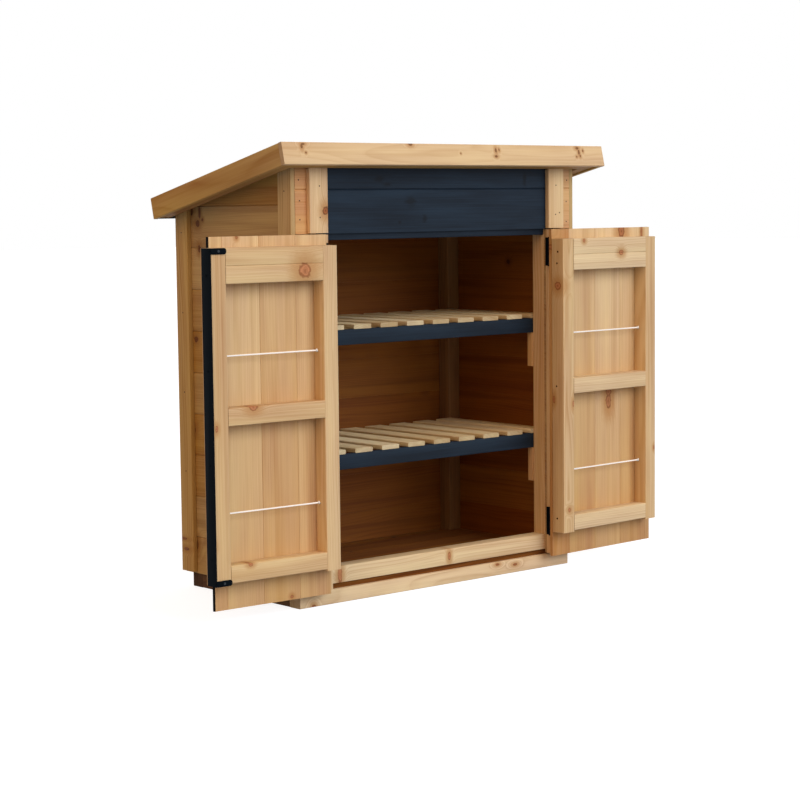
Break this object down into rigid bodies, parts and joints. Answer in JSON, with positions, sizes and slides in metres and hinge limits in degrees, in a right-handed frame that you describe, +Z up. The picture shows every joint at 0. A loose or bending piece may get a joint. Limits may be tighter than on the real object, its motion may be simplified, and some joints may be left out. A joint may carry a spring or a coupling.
{
  "type": "street book exchange box",
  "caption": "Boarded timber cupboard on a low plinth under a sloping roof, with slatted shelves and hinged doors that hold books behind elastic cords.",
  "frame": {"origin": "middle of the underside of the floor bearer, on the ground", "axes": "+Z up, +X to the right as seen from the front, +Y to the back, so the doors and shelves face -Y"},
  "size_m": [1.6325, 0.6055, 1.1996],
  "materials": {
    "framing_pine": "planed pine, clear treated",
    "board_pine": "planed tongued and grooved pine, clear treated",
    "slat_pine": "planed pine, untreated",
    "navy_timber": "satin navy paint over grain",
    "roof_felt": "mineral surfaced bitumen felt",
    "black_steel": "black satin",
    "edge_seal": "matt black",
    "elastic": "white braided elastic"
  },
  "bodies": {
    "cabinet": {"plinth_front": "framing_pine", "plinth_back_and_sides": "framing_pine", "floor_boards": "board_pine", "front_left_posts": "board_pine", "front_right_posts": "board_pine", "back_left_post": "board_pine", "back_right_post": "board_pine", "bottom_rail": "framing_pine", "header_rail": "navy_timber", "top_frame": "board_pine", "left_side_boards": "board_pine", "right_side_boards": "board_pine", "back_boards": "board_pine", "front_boards_left": "board_pine", "front_panel": "navy_timber", "front_boards_right": "board_pine", "left_batten": "board_pine", "right_batten": "board_pine", "left_jamb_board": "board_pine", "right_jamb_board": "board_pine", "front_left_trim": "board_pine", "front_right_trim": "board_pine", "back_left_trim": "board_pine", "back_right_trim": "board_pine", "roof_eaves_frame": "board_pine", "roof_boards": "board_pine", "roof_felt": "roof_felt", "roof_fascia": "framing_pine", "left_bargeboard": "framing_pine", "right_bargeboard": "framing_pine", "lower_shelf_rail": "navy_timber", "lower_shelf_slats": "slat_pine", "upper_shelf_rail": "navy_timber", "upper_shelf_slats": "slat_pine", "left_upper_hinge_leaf": "black_steel", "left_lower_hinge_leaf": "black_steel", "right_upper_hinge_leaf": "black_steel", "right_lower_hinge_leaf": "black_steel"},
    "left_door": {"left_door_skin": "board_pine", "left_door_hinge_stile": "framing_pine", "left_door_free_stile": "framing_pine", "left_door_top_rail": "framing_pine", "left_door_middle_rail": "framing_pine", "left_door_bottom_rail": "framing_pine", "left_door_upper_cord": "elastic", "left_door_lower_cord": "elastic", "left_door_upper_hinge_leaf": "black_steel", "left_door_lower_hinge_leaf": "black_steel", "left_door_meeting_bar": "black_steel", "left_door_edge_seal": "edge_seal"},
    "right_door": {"right_door_skin": "board_pine", "right_door_hinge_stile": "framing_pine", "right_door_free_stile": "framing_pine", "right_door_top_rail": "framing_pine", "right_door_middle_rail": "framing_pine", "right_door_bottom_rail": "framing_pine", "right_door_upper_cord": "elastic", "right_door_lower_cord": "elastic", "right_door_upper_hinge_leaf": "black_steel", "right_door_lower_hinge_leaf": "black_steel"}
  },
  "joints": [
    {"name": "left_door_hinge", "type": "hinge", "parent": "cabinet", "child": "left_door", "pos_m": [-0.4095, -0.2735, 0.52], "axis": [0, 0, 1], "range_deg": [0, 182]},
    {"name": "right_door_hinge", "type": "hinge", "parent": "cabinet", "child": "right_door", "pos_m": [0.3945, -0.2735, 0.52], "axis": [0, 0, 1], "range_deg": [-183, 0]}
  ]
}
